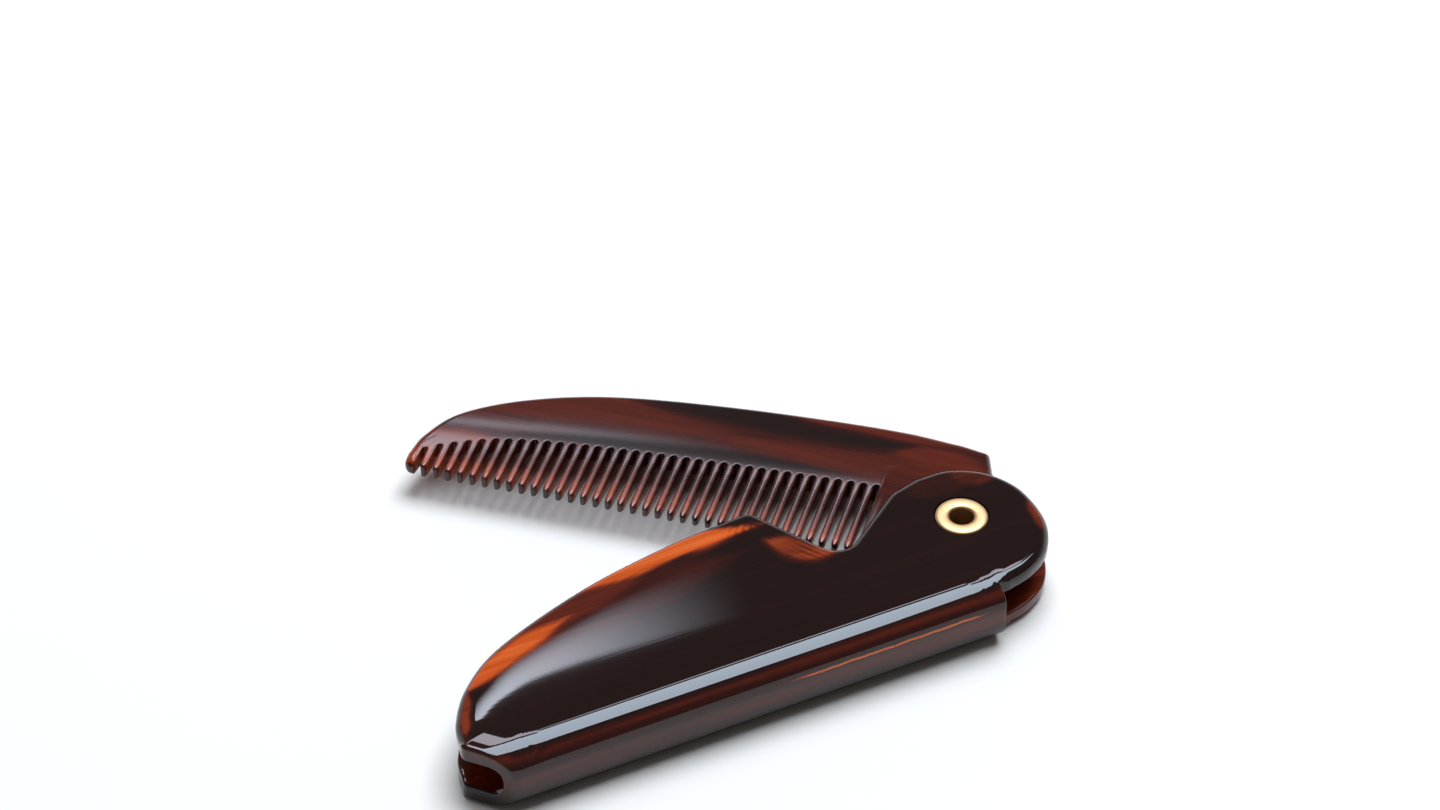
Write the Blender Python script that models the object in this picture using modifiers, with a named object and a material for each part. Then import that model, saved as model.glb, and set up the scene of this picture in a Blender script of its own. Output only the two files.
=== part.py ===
"""Folding pocket comb in tortoiseshell acetate, lying on its side and part open.

A sheet of acetate folded into a U makes the case: two covers and a rounded spine.
The comb swings on a brass eyelet at the case's round end and closes between the covers.
Units in the tables are millimetres. X runs along the spine towards the pivot, Y from the
spine to the open edge and Z up. The pivot's axis is X = Y = 0 while the pieces are made.
"""
import math

import bmesh
import bpy
from mathutils import Matrix, Vector

MM = 0.001

# Driving dimensions, in millimetres and degrees
CASE_THICKNESS = 8.2
WALL = 2.25
SPINE_Y = -13.1
SPINE_WALL = 2.0
SPINE_RADIUS = 2.4
SPINE_END_X = -1.3
SLOT_CORNER_RADIUS = 1.3
RIM_RADIUS = 0.8

COMB_THICKNESS = 3.1
COMB_RIM_RADIUS = 0.7
TOOTH_PITCH = 1.5
TOOTH_GAP = 0.68
FIRST_TOOTH_X = -64.56
GAP_COUNT = 36
TIP_FLAT = 0.42
TIP_BEVEL_LENGTH = 0.8
TAPER_ANGLE = 4.65
OPEN_ANGLE = 43.4

EYELET_BORE_RADIUS = 1.43
EYELET_BARREL_RADIUS = 1.85
EYELET_FLANGE_RADIUS = 3.05
EYELET_FLANGE_THICKNESS = 0.5
EYELET_PROUD = 0.15
EYELET_GAP = 0.15
EYELET_SIDES = 32

SLOT_HEIGHT = CASE_THICKNESS - 2 * WALL
MIDDLE_Z = CASE_THICKNESS / 2
SPINE_INNER_Y = SPINE_Y + SPINE_WALL
FAR = 90.0
SAME = 0.000001
FLAT_ANGLE = 0.001

# Cover's edge, from the slanting cut at the left end up to the hump: x, y
COVER_RISING_EDGE = [
    (-65.0, -7.6),
    (-64.1, -4.3),
    (-61.1, 0.0),
    (-55.4, 4.15),
    (-43.6, 8.45),
    (-32.5, 10.7),
    (-24.6, 11.5),
]
# Corners of the cover that are rounded: x, y, radius
COVER_HUMP = (-21.2, 11.75, 1.5)
COVER_NOTCH = (-14.9, 0.4, 2.4)
COVER_NOTCH_EXIT = (-5.3, 7.4, 4.0)
COVER_SPINE_LEFT = (-61.1, -13.1, 1.1)
COVER_LEFT_CUT = (-65.15, -8.55, 1.1)
# Round end of the cover about the pivot: x, y
COVER_ROUND_END = [
    (-1.5, 8.35),
    (2.6, 8.1),
    (6.3, 5.9),
    (8.5, 2.3),
    (8.95, -1.9),
    (8.3, -5.3),
    (6.3, -8.4),
    (3.3, -10.3),
    (0.0, -11.2),
]

# Comb's back in its own frame, tip to shoulder: x, y
COMB_BACK = [
    (-65.6, -5.4),
    (-64.9, -1.7),
    (-62.0, 3.2),
    (-55.0, 7.9),
    (-45.0, 11.5),
    (-30.0, 13.95),
    (-13.0, 15.4),
    (-3.6, 15.15),
]
# Corners of the comb: x, y, radius
COMB_SHOULDER = (-0.2, 14.6, 0.9)
COMB_STEP = (1.0, 11.3, 1.6)
COMB_TANG_CORNER = (7.0, 6.5, 5.0)
COMB_TIP_CORNER = (-65.4, -7.15, 1.0)
# Round tang and the heel beside the last tooth
TANG_RADIUS = 8.6
TANG_START_ANGLE = 20.0
TANG_END_ANGLE = -118.0
HEEL = (-10.2, -5.2, 1.0)
# Tooth tips lie on a straight line, tooth roots on an arch: x, y
TOOTH_TIPS = [(-64.5, -7.1), (-10.2, -5.2)]
TOOTH_ROOTS = [
    (-64.6, -4.6),
    (-62.0, -2.8),
    (-55.7, 0.0),
    (-45.8, 1.9),
    (-30.7, 3.6),
    (-11.0, 5.3),
]
# The ground panel over the teeth: its upper line and its end beside the pivot
PANEL_LEFT = (-68.0, 1.6)
PANEL_RIGHT = (-9.6, 6.3)
PANEL_END_RADIUS = 1.6


def smooth(knots, steps):
    """Points of a Catmull-Rom curve through the knots, ends included."""
    first = (2 * knots[0][0] - knots[1][0], 2 * knots[0][1] - knots[1][1])
    last = (2 * knots[-1][0] - knots[-2][0], 2 * knots[-1][1] - knots[-2][1])
    chain = [Vector(p) for p in [first, *knots, last]]
    points = []
    for a, b, c, d in zip(chain, chain[1:], chain[2:], chain[3:]):
        for step in range(steps):
            t = step / steps
            bend = 2 * a - 5 * b + 4 * c - d
            twist = 3 * b - a - 3 * c + d
            points.append(tuple(0.5 * (2 * b + (c - a) * t + bend * t * t + twist * t ** 3)))
    points.append(tuple(knots[-1]))
    return points


def fillet(before, corner, after, steps=5):
    """Points of the arc that rounds a corner (x, y, radius) between two neighbours."""
    tip = Vector(corner[:2])
    to_before = (Vector(before[:2]) - tip).normalized()
    to_after = (Vector(after[:2]) - tip).normalized()
    half = to_before.angle(to_after) / 2
    reach = corner[2] / math.tan(half)
    centre = tip + (to_before + to_after).normalized() * corner[2] / math.sin(half)
    start = tip + to_before * reach - centre
    turn = start.angle_signed(tip + to_after * reach - centre)
    points = []
    for step in range(steps + 1):
        angle = -turn * step / steps
        spun = Matrix.Rotation(angle, 2) @ start
        points.append(tuple(centre + spun))
    return points


def arc(radius, start, end, steps):
    """Points of an arc about the pivot, angles in degrees."""
    points = []
    for step in range(steps + 1):
        angle = math.radians(start + (end - start) * step / steps)
        points.append((radius * math.cos(angle), radius * math.sin(angle)))
    return points


def height_at(knots, x):
    """Height of a smooth curve through the knots at a given x."""
    points = smooth(knots, 12)
    for (x0, y0), (x1, y1) in zip(points, points[1:]):
        if x0 <= x <= x1:
            return y0 + (y1 - y0) * (x - x0) / (x1 - x0)
    return points[0][1] if x < points[0][0] else points[-1][1]


def remove_everything():
    for old in list(bpy.data.objects):
        bpy.data.objects.remove(old, do_unlink=True)


def new_collection(name):
    collection = bpy.data.collections.new(name)
    bpy.context.scene.collection.children.link(collection)
    return collection


def plate(name, outline, low, high, collection, matrix=None):
    """Closed plate: a filled flat curve extruded from low to high, made a mesh."""
    curve = bpy.data.curves.new(name + "_outline", "CURVE")
    curve.dimensions = "2D"
    curve.fill_mode = "BOTH"
    curve.extrude = (high - low) / 2 * MM
    spline = curve.splines.new("POLY")
    spline.points.add(len(outline) - 1)
    for point, (x, y) in zip(spline.points, outline):
        point.co = (x * MM, y * MM, 0.0, 1.0)
    spline.use_cyclic_u = True
    drawn = bpy.data.objects.new(name + "_outline", curve)
    collection.objects.link(drawn)
    bpy.context.view_layer.update()
    evaluated = drawn.evaluated_get(bpy.context.evaluated_depsgraph_get())
    mesh = bpy.data.meshes.new_from_object(evaluated)
    mesh.name = name
    bpy.data.objects.remove(drawn, do_unlink=True)
    bpy.data.curves.remove(curve)
    lift = Matrix.Translation((0.0, 0.0, (low + high) / 2 * MM))
    mesh.transform(matrix @ lift if matrix else lift)
    body = bmesh.new()
    body.from_mesh(mesh)
    bmesh.ops.remove_doubles(body, verts=body.verts, dist=SAME)
    bmesh.ops.recalc_face_normals(body, faces=body.faces)
    flat = [edge for edge in body.edges if edge.calc_face_angle(1.0) < FLAT_ANGLE]
    bmesh.ops.dissolve_edges(body, edges=flat, use_verts=False)
    body.to_mesh(mesh)
    body.free()
    solid = bpy.data.objects.new(name, mesh)
    collection.objects.link(solid)
    return solid


def as_cutter(solid):
    solid.hide_render = True
    solid.display_type = "WIRE"
    return solid


def combine(solid, cutter, operation, name):
    boolean = solid.modifiers.new(name, "BOOLEAN")
    boolean.operation = operation
    boolean.object = cutter
    return boolean


def round_rim(solid, width, crisp_x=None):
    """Rounds the upper and lower rim of a plate; a rim along crisp_x stays a clean cut."""
    body = bmesh.new()
    body.from_mesh(solid.data)
    weights = body.edges.layers.float.new("bevel_weight_edge")
    for edge in body.edges:
        ends = [vertex.co for vertex in edge.verts]
        level = abs(ends[0].z - ends[1].z) < SAME
        corner = edge.calc_face_angle(0.0) > math.radians(60)
        crisp = crisp_x is not None and all(abs(end.x - crisp_x * MM) < SAME for end in ends)
        edge[weights] = 1.0 if level and corner and not crisp else 0.0
    body.to_mesh(solid.data)
    body.free()
    bevel = solid.modifiers.new("round_rim", "BEVEL")
    bevel.width = width * MM
    bevel.segments = 2
    bevel.limit_method = "WEIGHT"
    bevel.use_clamp_overlap = False
    return bevel


def along_x():
    """Turns a flat (y, z) outline drawn in X and Y so that it is extruded along X."""
    return Matrix(((0, 0, 1, 0), (1, 0, 0, 0), (0, 1, 0, 0), (0, 0, 0, 1)))


def cylinder(name, radius, low, high, collection):
    bpy.ops.mesh.primitive_cylinder_add(
        vertices=EYELET_SIDES,
        radius=radius * MM,
        depth=(high - low) * MM,
        location=(0.0, 0.0, (low + high) / 2 * MM),
    )
    solid = bpy.context.object
    solid.name = name
    for linked in list(solid.users_collection):
        linked.objects.unlink(solid)
    collection.objects.link(solid)
    return solid


def join(name, solids, collection):
    """One mesh of several solids that stand clear of each other."""
    joined = bmesh.new()
    for solid in solids:
        joined.from_mesh(solid.data)
        bpy.data.objects.remove(solid, do_unlink=True)
    mesh = bpy.data.meshes.new(name)
    joined.to_mesh(mesh)
    joined.free()
    result = bpy.data.objects.new(name, mesh)
    collection.objects.link(result)
    return result


def material(name, colour, roughness, metallic=0.0, transmission=0.0):
    finish = bpy.data.materials.new(name)
    finish.use_nodes = True
    shader = finish.node_tree.nodes["Principled BSDF"]
    shader.inputs["Base Color"].default_value = (*colour, 1.0)
    shader.inputs["Roughness"].default_value = roughness
    shader.inputs["Metallic"].default_value = metallic
    shader.inputs["Transmission Weight"].default_value = transmission
    return finish


def cover_outline():
    """Outer edge of the folded case seen from above, anticlockwise round the covers."""
    outline = fillet(COVER_LEFT_CUT, COVER_SPINE_LEFT, (0.0, SPINE_Y), 3)[::-1]
    outline += fillet(COVER_SPINE_LEFT, COVER_LEFT_CUT, COVER_RISING_EDGE[0], 3)
    outline += smooth(COVER_RISING_EDGE, 4)
    outline += fillet(COVER_RISING_EDGE[-1], COVER_HUMP, COVER_NOTCH)
    outline += fillet(COVER_HUMP, COVER_NOTCH, COVER_NOTCH_EXIT)
    outline += fillet(COVER_NOTCH, COVER_NOTCH_EXIT, COVER_ROUND_END[0], 3)
    outline += smooth(COVER_ROUND_END, 3)
    outline += [(SPINE_END_X, SPINE_INNER_Y), (SPINE_END_X, SPINE_Y)]
    return outline


def u_section(outside, inner_y, low, high, radius):
    """Section of the fold in Y and Z: straight sides with two round corners."""
    far = (FAR, low)
    far_top = (FAR, high)
    lower = (inner_y, low, radius)
    upper = (inner_y, high, radius)
    steps = 5 if outside else 3
    return [far_top] + fillet(far_top, upper, lower, steps) + fillet(upper, lower, far, steps) + [far]


def make_case(parts, cutters):
    """The covers and the spine: the plan of the covers met with the section of the fold."""
    case = plate("case", cover_outline(), 0.0, CASE_THICKNESS, parts)
    round_rim(case, RIM_RADIUS, SPINE_END_X)

    fold = plate(
        "fold_section",
        u_section(True, SPINE_Y, 0.0, CASE_THICKNESS, SPINE_RADIUS),
        -FAR,
        FAR,
        cutters,
        along_x(),
    )
    combine(case, as_cutter(fold), "INTERSECT", "fold")

    slot = plate(
        "slot_section",
        u_section(False, SPINE_INNER_Y, WALL, WALL + SLOT_HEIGHT, SLOT_CORNER_RADIUS),
        -FAR,
        FAR,
        cutters,
        along_x(),
    )
    combine(case, as_cutter(slot), "DIFFERENCE", "slot")

    end_slot = plate(
        "end_slot",
        [(SPINE_END_X, -FAR), (FAR, -FAR), (FAR, FAR), (SPINE_END_X, FAR)],
        WALL,
        WALL + SLOT_HEIGHT,
        cutters,
    )
    combine(case, as_cutter(end_slot), "DIFFERENCE", "end_slot")

    hole_radius = EYELET_BARREL_RADIUS + EYELET_GAP
    pivot_hole = cylinder("case_pivot_hole", hole_radius, -FAR, FAR, cutters)
    combine(case, as_cutter(pivot_hole), "DIFFERENCE", "pivot_hole")
    seat_radius = EYELET_FLANGE_RADIUS + EYELET_GAP
    top_floor = CASE_THICKNESS + EYELET_PROUD - EYELET_FLANGE_THICKNESS - EYELET_GAP
    top_seat = cylinder("eyelet_seat_top", seat_radius, top_floor, CASE_THICKNESS + WALL, cutters)
    combine(case, as_cutter(top_seat), "DIFFERENCE", "top_seat")
    bottom_floor = EYELET_FLANGE_THICKNESS + 2 * EYELET_GAP
    bottom_seat = cylinder("eyelet_seat_bottom", seat_radius, -WALL, bottom_floor, cutters)
    combine(case, as_cutter(bottom_seat), "DIFFERENCE", "bottom_seat")
    return case


def comb_outline():
    """Edge of the comb's blank, clockwise from the tip over the back to the heel."""
    tang = arc(TANG_RADIUS, TANG_START_ANGLE, TANG_END_ANGLE, 14)
    outline = smooth(COMB_BACK, 3)
    outline += fillet(COMB_BACK[-1], COMB_SHOULDER, COMB_STEP, 3)
    outline += fillet(COMB_SHOULDER, COMB_STEP, COMB_TANG_CORNER, 3)
    outline += fillet(COMB_STEP, COMB_TANG_CORNER, tang[0], 3)
    outline += tang
    outline += fillet(tang[-1], HEEL, COMB_TIP_CORNER, 2)
    outline += fillet(HEEL, COMB_TIP_CORNER, COMB_BACK[0], 3)
    return outline


def gap_outline(index):
    """Saw cut between two teeth, with a mouth that bevels the tooth tips."""
    x = FIRST_TOOTH_X + (index + 0.5) * TOOTH_PITCH
    (x0, y0), (x1, y1) = TOOTH_TIPS
    tip = y0 + (y1 - y0) * (x - x0) / (x1 - x0)
    root = height_at(TOOTH_ROOTS, x)
    half = TOOTH_GAP / 2
    mouth = (TOOTH_PITCH - TIP_FLAT) / 2
    return [
        (x - mouth, tip - 1.0),
        (x + mouth, tip - 1.0),
        (x + mouth, tip),
        (x + half, tip + TIP_BEVEL_LENGTH),
        (x + half, root - half),
        (x, root),
        (x - half, root - half),
        (x - half, tip + TIP_BEVEL_LENGTH),
        (x - mouth, tip),
    ]


def panel_cutter(name, side, cutters):
    """Tilted plate that grinds one face of the tooth zone down to thin tips."""
    left = Vector(PANEL_LEFT)
    right = Vector(PANEL_RIGHT)
    line_angle = math.atan2(right.y - left.y, right.x - left.x)
    length = (right - left).length
    corner = (length, 0.0, PANEL_END_RADIUS)
    outline = [(0.0, -FAR), (0.0, 0.0)]
    outline += fillet((0.0, 0.0), corner, (length, -FAR), 4)
    outline += [(length, -FAR)]
    surface = MIDDLE_Z + side * COMB_THICKNESS / 2
    low, high = (0.0, WALL) if side > 0 else (-WALL, 0.0)
    matrix = (
        Matrix.Translation((left.x * MM, left.y * MM, surface * MM))
        @ Matrix.Rotation(line_angle, 4, "Z")
        @ Matrix.Rotation(side * math.radians(TAPER_ANGLE), 4, "X")
    )
    return plate(name, outline, low, high, cutters, matrix)


def make_comb(parts, cutters):
    """The comb: a blank with round edges, ground thin over the teeth and then sawn."""
    low = MIDDLE_Z - COMB_THICKNESS / 2
    comb = plate("comb", comb_outline(), low, low + COMB_THICKNESS, parts)
    round_rim(comb, COMB_RIM_RADIUS)
    for name, side in (("panel_top", 1), ("panel_bottom", -1)):
        combine(comb, as_cutter(panel_cutter(name, side, cutters)), "DIFFERENCE", name)
    gaps = []
    for index in range(GAP_COUNT):
        gaps.append(plate(f"gap_{index}", gap_outline(index), 0.0, CASE_THICKNESS, cutters))
    saw = join("saw_cuts", gaps, cutters)
    combine(comb, as_cutter(saw), "DIFFERENCE", "teeth")
    hole_radius = EYELET_BARREL_RADIUS + EYELET_GAP
    hole = cylinder("comb_pivot_hole", hole_radius, 0.0, CASE_THICKNESS, cutters)
    combine(comb, as_cutter(hole), "DIFFERENCE", "pivot_hole")
    return comb


def make_eyelet(parts):
    """Tubular eyelet: a barrel with a domed flange above and a rolled one below."""
    top = CASE_THICKNESS + EYELET_PROUD
    under_top = top - EYELET_FLANGE_THICKNESS
    bottom = EYELET_GAP
    over_bottom = bottom + EYELET_FLANGE_THICKNESS
    rim = 0.18
    crown = EYELET_BORE_RADIUS + 0.5
    outer_side = [
        (crown, top),
        (EYELET_FLANGE_RADIUS - 0.35, top - 0.06),
        (EYELET_FLANGE_RADIUS, top - rim),
        (EYELET_FLANGE_RADIUS, under_top),
        (EYELET_BARREL_RADIUS, under_top),
        (EYELET_BARREL_RADIUS, over_bottom),
        (EYELET_FLANGE_RADIUS, over_bottom),
        (EYELET_FLANGE_RADIUS, bottom + rim),
        (EYELET_FLANGE_RADIUS - 0.35, bottom),
        (crown, bottom),
    ]
    bore_side = [(EYELET_BORE_RADIUS, bottom + rim), (EYELET_BORE_RADIUS, top - rim)]
    profile = outer_side + bore_side
    mesh = bpy.data.meshes.new("eyelet")
    points = [(r * MM, 0.0, z * MM) for r, z in profile]
    edges = [(i, (i + 1) % len(points)) for i in range(len(points))]
    mesh.from_pydata(points, edges, [])
    eyelet = bpy.data.objects.new("eyelet", mesh)
    parts.objects.link(eyelet)
    screw = eyelet.modifiers.new("turned", "SCREW")
    screw.steps = EYELET_SIDES
    screw.render_steps = EYELET_SIDES
    screw.use_merge_vertices = True
    screw.merge_threshold = SAME
    return eyelet


def shade(solid):
    solid.data.shade_smooth()
    solid.data.set_sharp_from_angle(angle=math.radians(35))


def world_corners(solids):
    """Lowest and highest corner of the solids as the viewport evaluates them."""
    bpy.context.view_layer.update()
    graph = bpy.context.evaluated_depsgraph_get()
    points = []
    for solid in solids:
        evaluated = solid.evaluated_get(graph)
        mesh = evaluated.to_mesh()
        points += [evaluated.matrix_world @ vertex.co for vertex in mesh.vertices]
        evaluated.to_mesh_clear()
    low = Vector([min(p[axis] for p in points) for axis in range(3)])
    high = Vector([max(p[axis] for p in points) for axis in range(3)])
    return low, high


def main():
    remove_everything()
    parts = new_collection("folding_comb")
    cutters = new_collection("cutters")

    case = make_case(parts, cutters)
    comb = make_comb(parts, cutters)
    eyelet = make_eyelet(parts)
    case.data.materials.append(material("dark_tortoiseshell", (0.030, 0.013, 0.010), 0.12, 0.0, 0.3))
    comb.data.materials.append(material("red_tortoiseshell", (0.110, 0.016, 0.009), 0.15, 0.0, 0.4))
    eyelet.data.materials.append(material("brass", (0.92, 0.72, 0.42), 0.22, 1.0))
    for solid in (case, comb, eyelet):
        shade(solid)

    root = bpy.data.objects.new("folding_comb_root", None)
    pivot = bpy.data.objects.new("comb_pivot", None)
    parts.objects.link(root)
    parts.objects.link(pivot)
    pivot.parent = root
    case.parent = root
    eyelet.parent = root
    comb.parent = pivot
    pivot.rotation_euler.z = -math.radians(OPEN_ANGLE)
    for cutter in list(cutters.objects):
        of_comb = cutter.name in ("panel_top", "panel_bottom", "saw_cuts", "comb_pivot_hole")
        cutter.parent = pivot if of_comb else root

    low, high = world_corners((case, comb, eyelet))
    root.location = (-(low.x + high.x) / 2, -(low.y + high.y) / 2, -low.z)
    bpy.context.view_layer.update()
    print("pivot axis at", tuple(round(value / MM, 3) for value in pivot.matrix_world.translation))
    print("size in mm", tuple(round(value / MM, 2) for value in high - low))


main()
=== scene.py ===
# %% [markdown]
# # A folding pocket comb in tortoiseshell acetate
#
# The real object has three pieces. A folded sheet of acetate is the case, a sawn and polished
# blade is the comb, and a brass eyelet joins them. This lesson makes each one as a surface that
# is worked out with numpy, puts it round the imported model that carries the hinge, and lights it
# as a small studio would.
#
# Tables are in millimetres, in the frame of the piece: X runs along the spine towards the
# pivot, Y from the spine to the open edge, Z up, and the pivot is at X = Y = 0.

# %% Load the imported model
import math

import bmesh
import bpy
import numpy as np
from mathutils import Matrix


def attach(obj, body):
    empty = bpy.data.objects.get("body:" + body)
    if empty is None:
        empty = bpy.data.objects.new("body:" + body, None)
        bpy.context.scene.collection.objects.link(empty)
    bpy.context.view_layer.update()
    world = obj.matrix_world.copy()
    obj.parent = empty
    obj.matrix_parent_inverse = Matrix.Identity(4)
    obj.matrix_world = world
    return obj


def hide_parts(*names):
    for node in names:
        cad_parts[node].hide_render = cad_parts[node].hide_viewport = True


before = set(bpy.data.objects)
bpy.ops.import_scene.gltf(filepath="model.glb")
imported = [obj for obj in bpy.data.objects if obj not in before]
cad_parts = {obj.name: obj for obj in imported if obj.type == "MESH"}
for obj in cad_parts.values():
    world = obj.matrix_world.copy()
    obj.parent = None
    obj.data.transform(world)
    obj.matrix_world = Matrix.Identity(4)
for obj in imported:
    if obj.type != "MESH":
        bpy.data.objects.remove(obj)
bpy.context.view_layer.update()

# %% [markdown]
# ## Sizes that every piece shares
#
# The case is 8.2 mm thick and lies on the table. Its middle plane is a plane of mirror
# symmetry for the case and the comb, so each of them is made as an upper half and mirrored.

# %% Shared sizes
MM = 0.001
PIVOT = np.array([27.661, -15.912])
OPEN_ANGLE = math.radians(-43.4)
CASE_TOP = 8.2
MIDDLE = CASE_TOP / 2
WELD = 0.0004
print("pivot at", PIVOT, "mm; comb turned by", round(math.degrees(OPEN_ANGLE), 1), "degrees")

# %% [markdown]
# ## Small tools for outlines
#
# A maker draws an outline with a French curve and rounds the corners with a file. Here a smooth
# curve passes through a few knots, and a fillet puts an arc into a corner.


# %% Curves through knots and rounded corners
def smooth(knots, steps=12):
    """Catmull-Rom curve: between two knots, half of the cubic that leaves each knot
    parallel to the line between its neighbours, at even values of its parameter."""
    k = np.array(knots, float)
    chain = np.vstack([2 * k[0] - k[1], k, 2 * k[-1] - k[-2]])
    a, b, c, d = (chain[i:len(chain) - 3 + i, None] for i in range(4))
    t = (np.arange(steps) / steps)[None, :, None]
    bend = 2 * a - 5 * b + 4 * c - d
    twist = 3 * b - a - 3 * c + d
    curve = 0.5 * (2 * b + (c - a) * t + bend * t ** 2 + twist * t ** 3)
    return np.vstack([curve.reshape(-1, 2), k[-1:]])


def unit(v):
    """Each vector divided by its own length."""
    return v / np.linalg.norm(v, axis=-1, keepdims=True)


def fillet(before, corner, after, steps=12):
    """Arc of a given radius that touches both sides of a corner (x, y, radius): centre on
    the corner's bisector, radius / sin(half angle) from the corner."""
    tip, radius = np.array(corner[:2], float), corner[2]
    p, q = unit(np.array(before[:2]) - tip), unit(np.array(after[:2]) - tip)
    half = math.acos(p @ q) / 2
    centre = tip + unit(p + q) * radius / math.sin(half)
    start, end = (tip + side * radius / math.tan(half) - centre for side in (p, q))
    turn = math.atan2(start[0] * end[1] - start[1] * end[0], start @ end)
    angle = turn * np.linspace(0, 1, steps + 1)[:, None]
    sideways = np.array([-start[1], start[0]])
    return centre + start * np.cos(angle) + sideways * np.sin(angle)


def arc(radius, start, end, steps=24):
    """Arc about the pivot between two angles in degrees."""
    angle = np.radians(np.linspace(start, end, steps + 1))
    return radius * np.column_stack([np.cos(angle), np.sin(angle)])


def along(path, count, crowd=0.0):
    """count points along a polyline, evenly by length plus crowd times the turning angle,
    so they stand closer together where the path bends."""
    step = np.diff(path, axis=0)
    length = np.hypot(*step.T)
    keep = length > 1e-6
    path, step, length = path[np.r_[True, keep]], step[keep], length[keep]
    heading = np.unwrap(np.arctan2(step[:, 1], step[:, 0]))
    turn = np.abs(np.diff(heading, prepend=heading[0]))
    reach = np.r_[0, np.cumsum(length + crowd * turn)]
    where = np.linspace(0, reach[-1], count)
    return np.column_stack([np.interp(where, reach, path[:, axis]) for axis in (0, 1)])


def nearest(points, path):
    """Shortest distance from each point to a polyline, and how far along the polyline its
    foot is, from 0 to 1. Each point is dropped onto each straight piece and held between
    its ends; the piece with the least distance counts. Points go block by block, which
    keeps the table of points by pieces small."""
    flat = points.reshape(-1, 2)
    a, step = path[:-1], np.diff(path, axis=0)
    square = np.maximum((step ** 2).sum(1), 1e-12)
    reach = np.r_[0, np.cumsum(np.sqrt(square))]
    found, place = np.empty(len(flat)), np.empty(len(flat))
    block = 2000
    for first in range(0, len(flat), block):
        now = slice(first, first + block)
        p = flat[now, None]
        share = np.clip(((p - a) * step).sum(2) / square, 0, 1)
        gap = ((p - a - share[..., None] * step) ** 2).sum(2)
        best = gap.argmin(1)
        rows = np.arange(len(best))
        found[now] = np.sqrt(gap[rows, best])
        place[now] = (reach[best] + share[rows, best] * np.sqrt(square[best])) / reach[-1]
    return found.reshape(points.shape[:-1]), place.reshape(points.shape[:-1])


def distance(points, path):
    """Shortest distance from each point to a polyline."""
    return nearest(points, path)[0]


def roll(d, radius, height=None):
    """Drop of a rounded edge at distance d from it: height less the height of a quarter
    ellipse that touches the top at distance radius."""
    inside = np.clip(1 - d / radius, 0, 1)
    return (radius if height is None else height) * (1 - np.sqrt(1 - inside ** 2))


def ease(value, low, high):
    """Smooth step from 0 at low to 1 at high: 3 t^2 - 2 t^3."""
    t = np.clip((value - low) / (high - low), 0, 1)
    return t * t * (3 - 2 * t)


print("a fillet of 2 mm in a square corner has", len(fillet((0, 9), (0, 0, 2), (9, 0))), "points")

# %% [markdown]
# ## From grids to a mesh
#
# Every surface below is a grid of points. Neighbouring grids repeat the points of the edge that
# they share, so welding them by distance closes the skin, and Blender then turns all faces out.


# %% Grids to one welded mesh
def both_halves(grids):
    """The same grids and their reflections in the middle plane: z becomes 2 * MIDDLE - z."""
    return grids + [grid * [1, 1, -1] + [0, 0, 2 * MIDDLE] for grid in grids]


def placed(points, turn):
    """Points turned about the pivot by an angle and carried to the pivot's place."""
    c, s = math.cos(turn), math.sin(turn)
    across = np.array([[c, s, 0], [-s, c, 0], [0, 0, 1]])
    return points @ across + [*PIVOT, 0]


def skin(name, grids, turn=0.0):
    """One closed mesh from grids of points (rows, columns, 3) in millimetres."""
    points, faces, start = [], [], 0
    for grid in grids:
        rows, columns = grid.shape[:2]
        index = start + np.arange(rows * columns).reshape(rows, columns)
        quads = np.stack([index[:-1, :-1], index[1:, :-1], index[1:, 1:], index[:-1, 1:]], -1)
        faces.append(quads.reshape(-1, 4))
        points.append(grid.reshape(-1, 3))
        start += rows * columns
    mesh = bpy.data.meshes.new(name)
    mesh.from_pydata(placed(np.vstack(points), turn) * MM, [], np.vstack(faces).tolist())
    body = bmesh.new()
    body.from_mesh(mesh)
    bmesh.ops.remove_doubles(body, verts=body.verts, dist=WELD * MM)
    bmesh.ops.recalc_face_normals(body, faces=body.faces)
    loose = sum(1 for edge in body.edges if len(edge.link_faces) != 2)
    body.to_mesh(mesh)
    body.free()
    mesh.shade_smooth()
    piece = bpy.data.objects.new(name, mesh)
    bpy.context.scene.collection.objects.link(piece)
    print(name, len(mesh.vertices), "points,", len(mesh.polygons), "faces, open edges:", loose)
    return piece


# %% [markdown]
# ## A sheet between two edges
#
# The covers and the blade are both flat sheets with a long curved outline. Their grid runs
# round the outline. The first rows step inwards as the edge's rounding needs, closely at first,
# and the others run on to a line down the middle, where the two sides meet.


# %% Rows from the outline to the middle line
def inward(loop, blur=0):
    """Unit normals of a closed anticlockwise loop: its direction turned left by 90 degrees,
    averaged over a few neighbours if asked."""
    ahead = np.roll(loop, -1, 0) - np.roll(loop, 1, 0)
    normal = unit(np.column_stack([-ahead[:, 1], ahead[:, 0]]))
    return unit(sum(np.roll(normal, k, 0) for k in range(-blur, blur + 1)))


def rows_inward(loop, normal, reach, middle, rim_rows, inner_rows):
    """Grid (row, sample, xy). Rim rows stand off the outline by reach * (1 - cos(angle)) as
    the angle goes from 0 to 90 degrees; inner rows divide the rest by a rising power."""
    angle = np.linspace(0, math.pi / 2, rim_rows)[:, None]
    rim = loop + normal * (reach * (1 - np.cos(angle)))[..., None]
    share = (np.linspace(0, 1, inner_rows + 1)[1:, None, None]) ** 1.5
    grid = np.concatenate([rim, rim[-1] + (middle - rim[-1]) * share])
    return np.concatenate([grid, grid[:, :1]], 1)


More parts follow.
